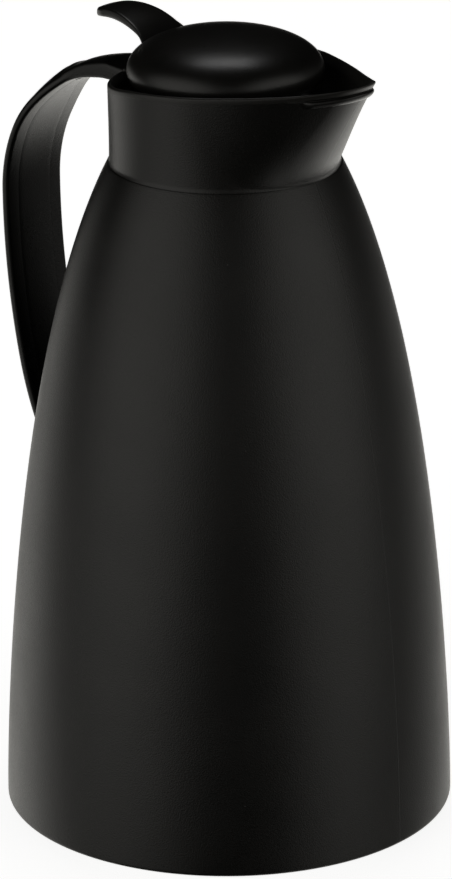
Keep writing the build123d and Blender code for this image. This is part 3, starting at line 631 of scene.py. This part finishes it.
def ground_steel(name, tone):
    """Steel with fine turning marks: noise squeezed to thin rings along one direction."""
    finish, tree, shader, place = start_finish(name)
    squeezed = put(tree, "Mapping", {"Vector": place, "Scale": (300.0, 9000.0, 300.0)})
    squeezed = squeezed.outputs["Vector"]
    marks = cloudy(tree, squeezed, 1.0, 0.0, 1.0)
    colour = two_tones(tree, marks, (tone * 0.85,) * 3, (tone * 1.05, tone * 1.05, tone * 1.07))
    rough = cloudy(tree, squeezed, 1.0, 0.22, 0.4)
    bump = put(tree, "Bump", {"Height": marks, "Strength": 0.3, "Distance": 0.00001})
    feed_shader(tree, shader, colour, rough, bump, {"Metallic": 1.0})
    return finish


def silvered_glass(name, tone):
    """Glass with a mirror coat behind it: bright metal under a clear layer, with slow waves
    and thin patches."""
    finish, tree, shader, place = start_finish(name)
    patches = cloudy(tree, place, 70.0, 0.0, 1.0, 4.0)
    colour = two_tones(tree, patches, (tone * 0.86, tone * 0.88, tone * 0.9),
                       (tone, tone * 1.01, tone * 1.02))
    rough = cloudy(tree, place, 120.0, 0.04, 0.12)
    swell = cloudy(tree, place, 45.0, 0.0, 1.0)
    waves = put(tree, "Bump", {"Height": swell, "Strength": 0.2, "Distance": 0.0002})
    feed_shader(tree, shader, colour, rough, waves,
                {"Metallic": 0.9, "Coat Weight": 1.0, "Coat Roughness": 0.02})
    return finish


def soft_rubber(name, tone, grain_scale, sheen=0.0):
    """Rubber or silicone: a matt skin with a fine pebble, and slow changes of tone."""
    finish, tree, shader, place = start_finish(name)
    share = cloudy(tree, place, 90.0, 0.0, 1.0)
    colour = two_tones(tree, share, [v * 0.85 for v in tone], [v * 1.08 for v in tone])
    pebbles = cloudy(tree, place, grain_scale, 0.0, 1.0, 3.0)
    bump = put(tree, "Bump", {"Height": pebbles, "Strength": 0.4, "Distance": 0.00006})
    rough = cloudy(tree, place, 200.0, 0.55, 0.75)
    feed_shader(tree, shader, colour, rough, bump, {"Sheen Weight": sheen})
    return finish


def pressed_fibre(name, tone):
    """Fibre pad: long thin streaks in two directions over a mottled buff."""
    finish, tree, shader, place = start_finish(name)
    streaks = []
    for scale in ((500.0, 500.0, 4000.0), (4000.0, 4000.0, 500.0)):
        drawn_out = put(tree, "Mapping", {"Vector": place, "Scale": scale}).outputs["Vector"]
        streaks.append(cloudy(tree, drawn_out, 1.0, 0.0, 1.0, 4.0))
    strands = arithmetic(tree, "MAXIMUM", *streaks)
    colour = two_tones(tree, strands, [v * 0.6 for v in tone], tone)
    bump = put(tree, "Bump", {"Height": strands, "Strength": 0.7, "Distance": 0.0002})
    feed_shader(tree, shader, colour, cloudy(tree, place, 900.0, 0.8, 0.95), bump, {})
    return finish


def give(piece, finish):
    """Puts a finish on a piece, in the slots that it has or in a new one."""
    if piece.material_slots:
        for slot in piece.material_slots:
            slot.material = finish
    else:
        piece.data.materials.append(finish)


def stand_for(piece, node, body, finish):
    """A shaped piece that rides on a body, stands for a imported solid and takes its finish."""
    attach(piece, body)
    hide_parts(node)
    give(piece, finish)


casing_black = moulded_black("casing_black", 0.0042, 0.33, 0.00009, parting=True)
collar_black = moulded_black("collar_black", 0.0042, 0.33, 0.00007, parting=True)
funnel_black = moulded_black("funnel_black", 0.008, 0.40, 0.00004)
handle_black = moulded_black("handle_black", 0.003, 0.30, 0.00008, shine=0.34)
liner_black = moulded_black("liner_black", 0.003, 0.30, 0.00008, shine=0.34)
lid_black = moulded_black("lid_black", 0.006, 0.32, 0.00004)

stand_for(make_casing(), "outer_casing", "carafe", casing_black)
stand_for(make_collar(), "spout_collar", "carafe", collar_black)
stand_for(make_funnel(), "pouring_funnel", "carafe", funnel_black)
stand_for(make_hinge_lug("hinge_lug_near", -1), "pouring_funnel", "carafe", funnel_black)
stand_for(make_hinge_lug("hinge_lug_far", 1), "pouring_funnel", "carafe", funnel_black)
stand_for(make_strap(), "handle_strap", "carafe", handle_black)
stand_for(make_liner(), "handle_liner", "carafe", liner_black)
stand_for(make_dome(), "lid_cover", "lid", lid_black)
stand_for(make_lever(), "lid_cover", "lid", lid_black)

give(nodes["base_cap"], moulded_black("base_cap_black", 0.012, 0.5, 0.00006))
give(nodes["foot_ring"], soft_rubber("foot_ring_rubber", (0.016, 0.016, 0.016), 1800.0))
give(nodes["lid_plate"], moulded_black("lid_plate_black", 0.012, 0.42, 0.00004))
give(nodes["stopper_cup"], moulded_black("stopper_black", 0.02, 0.4, 0.00004))
give(nodes["collar_nut"], moulded_black("collar_nut_black", 0.018, 0.5, 0.00006, dusty=False))
give(nodes["flask_cushion"], soft_rubber("cushion_rubber", (0.03, 0.03, 0.031), 1500.0))
give(nodes["neck_gasket"], soft_rubber("gasket_silicone", (0.52, 0.5, 0.46), 2600.0, 0.1))
give(nodes["stopper_seal"], soft_rubber("seal_silicone", (0.5, 0.49, 0.45), 2600.0, 0.1))
give(nodes["spacer_pads"], pressed_fibre("pad_fibre", (0.62, 0.58, 0.48)))
give(nodes["flask_outer_glass"], silvered_glass("outer_bottle_silver", 0.72))
give(nodes["flask_inner_glass"], silvered_glass("inner_bottle_silver", 0.78))
for fastener in ("hinge_pin", "handle_screw", "stopper_screw"):
    give(nodes[fastener], ground_steel(fastener + "_steel", 0.55))


# Floor, in millimetres, and surroundings, lamp and camera, in metres
CAMERA_SIDE = math.radians(41.5)
LOOK = Vector((math.sin(CAMERA_SIDE), -math.cos(CAMERA_SIDE), 0))
ASIDE = Vector((math.cos(CAMERA_SIDE), math.sin(CAMERA_SIDE), 0))
CAMERA_TURN, CAMERA_PITCH, CAMERA_ROLL = math.radians(41.5115), 0.3478, -0.0069
CAMERA_DISTANCE, CAMERA_HEIGHT, CAMERA_LENS = 1.5, 0.66426, 203.79
FLOOR_REACH, FLOOR_DROP = 3000.0, 0.05

# Soft bright areas around the object: angle, rise, strength, and in degrees where each begins and
# ends to fade. The last is the white background itself, seen by reflection.
BRIGHT_AREAS = (
    (62, 10, 0.84, 0, 47),
    (-57, 10, 0.94, 0, 52),
    (4, 11, 0.14, 0, 34),
    (66, -58, 0.55, 0, 34),
    (104, 2, 0.08, 0, 36),
    (140, -44, 0.44, 0, 46),
    (-132, -40, 1.05, 0, 44),
    (164, -54, 1.20, 6, 41),
    (180, -20, 1.00, 6, 18),
)
DIM_LIGHT, LIGHT_COLOUR = 0.004, (1, 0.985, 0.93, 1)


def towards(degrees, rise):
    """A direction by its angle from the camera's side, to the camera's right if positive, and
    its rise in degrees."""
    turn, lift = math.radians(degrees), math.radians(rise)
    level = LOOK * math.cos(turn) + ASIDE * math.sin(turn)
    return level * math.cos(lift) + Vector((0, 0, math.sin(lift)))


def lay_floor():
    """A pale floor just under the foot: nearly white where the camera sees it, with the
    object's shadow kept in its lit part. Mirror rays pass through it and meet the
    surroundings, so that it doesn't whiten the black plastic from below."""
    spread = np.array([-FLOOR_REACH, FLOOR_REACH])
    points = np.stack([*np.meshgrid(spread, spread), np.full((2, 2), -FLOOR_DROP)], axis=-1)
    floor = lay_surface("floor", points)
    finish, tree, shader, place = start_finish("pale_floor")
    tree.nodes.remove(shader)
    share = cloudy(tree, place, 3.0, 0.0, 1.0)
    grey = two_tones(tree, share, (0.64, 0.64, 0.64), (0.66, 0.66, 0.66))
    matt = put(tree, "BsdfDiffuse", {"Color": grey})
    glow = put(tree, "Emission", {"Color": (1, 1, 1, 1), "Strength": 0.86})
    ray = put(tree, "LightPath", {})
    seen = put(tree, "MixShader", {0: ray.outputs["Is Camera Ray"], 2: glow.outputs["Emission"]})
    both = put(tree, "AddShader", {0: matt.outputs["BSDF"], 1: seen.outputs["Shader"]})
    clear = put(tree, "BsdfTransparent", {})
    final = put(tree, "MixShader", {0: ray.outputs["Is Glossy Ray"], 1: both.outputs["Shader"],
                                    2: clear.outputs["BSDF"]})
    tree.links.new(final.outputs["Shader"], tree.nodes["Material Output"].inputs["Surface"])
    give(floor, finish)


def set_surroundings():
    """White for the camera. For the object's own light: dim in front and below, with soft
    bright areas that fade by the angle from their middle."""
    world = bpy.data.worlds.new("studio")
    bpy.context.scene.world = world
    world.use_nodes = True
    tree = world.node_tree
    tree.nodes.clear()
    way = put(tree, "TexCoord", {}).outputs["Generated"]
    light = DIM_LIGHT
    for degrees, rise, strength, full, reach in BRIGHT_AREAS:
        near = put(tree, "VectorMath", {0: way, 1: towards(degrees, rise)},
                   operation="DOT_PRODUCT").outputs["Value"]
        area = put(tree, "MapRange", {"Value": near, "From Min": math.cos(math.radians(reach)),
                                      "From Max": math.cos(math.radians(full)),
                                      "To Min": 0.0, "To Max": strength},
                   interpolation_type="SMOOTHSTEP").outputs["Result"]
        light = arithmetic(tree, "ADD", area, light)
    lit = put(tree, "Background", {"Color": LIGHT_COLOUR, "Strength": light})
    white = put(tree, "Background", {"Color": (1, 1, 1, 1), "Strength": 1.0})
    ray = put(tree, "LightPath", {})
    seen = arithmetic(tree, "MAXIMUM", ray.outputs["Is Camera Ray"],
                      ray.outputs["Is Transmission Ray"])
    mix = put(tree, "MixShader", {0: seen, 1: lit.outputs["Background"],
                                  2: white.outputs["Background"]})
    out = tree.nodes.new("ShaderNodeOutputWorld")
    tree.links.new(mix.outputs["Shader"], out.inputs["Surface"])


def softbox(name, place, width, height, power, aim):
    """A rectangular soft lamp at a place, turned towards a point on the object."""
    lamp = bpy.data.lights.new(name, "AREA")
    lamp.shape = "RECTANGLE"
    lamp.size, lamp.size_y = width, height
    lamp.energy = power
    holder = bpy.data.objects.new(name, lamp)
    holder.location = place
    holder.rotation_euler = (aim - place).to_track_quat("-Z", "Y").to_euler()
    bpy.context.scene.collection.objects.link(holder)


def aim_camera():
    """The camera stands on the spout's near side and looks down by about 20 degrees: its axes
    are right, above and backwards, after a turn, a pitch and a slight roll."""
    turn, pitch, roll = CAMERA_TURN, CAMERA_PITCH, CAMERA_ROLL
    right = Vector((math.cos(turn), math.sin(turn), 0))
    level = Vector((-math.sin(turn), math.cos(turn), 0))
    forward = math.cos(pitch) * level - Vector((0, 0, math.sin(pitch)))
    above = math.sin(pitch) * level + Vector((0, 0, math.cos(pitch)))
    axes = (math.cos(roll) * right + math.sin(roll) * above,
            math.cos(roll) * above - math.sin(roll) * right, -forward)
    lens = bpy.data.cameras.new("camera")
    lens.sensor_fit = "VERTICAL"
    lens.sensor_height = 36.0
    lens.lens = CAMERA_LENS
    lens.clip_end = 50.0
    camera = bpy.data.objects.new("camera", lens)
    camera.matrix_world = Matrix(axes).transposed().to_4x4()
    camera.location = LOOK * CAMERA_DISTANCE + Vector((0, 0, CAMERA_HEIGHT))
    bpy.context.scene.collection.objects.link(camera)
    bpy.context.scene.camera = camera


lay_floor()
set_surroundings()
softbox("top_softbox", place=towards(180, 0) * 0.65 + Vector((0, 0, 1.75)), width=0.7,
        height=0.42, power=3.1, aim=Vector((0, 0, 0.25)))
aim_camera()
bpy.context.scene.view_settings.view_transform = "Standard"
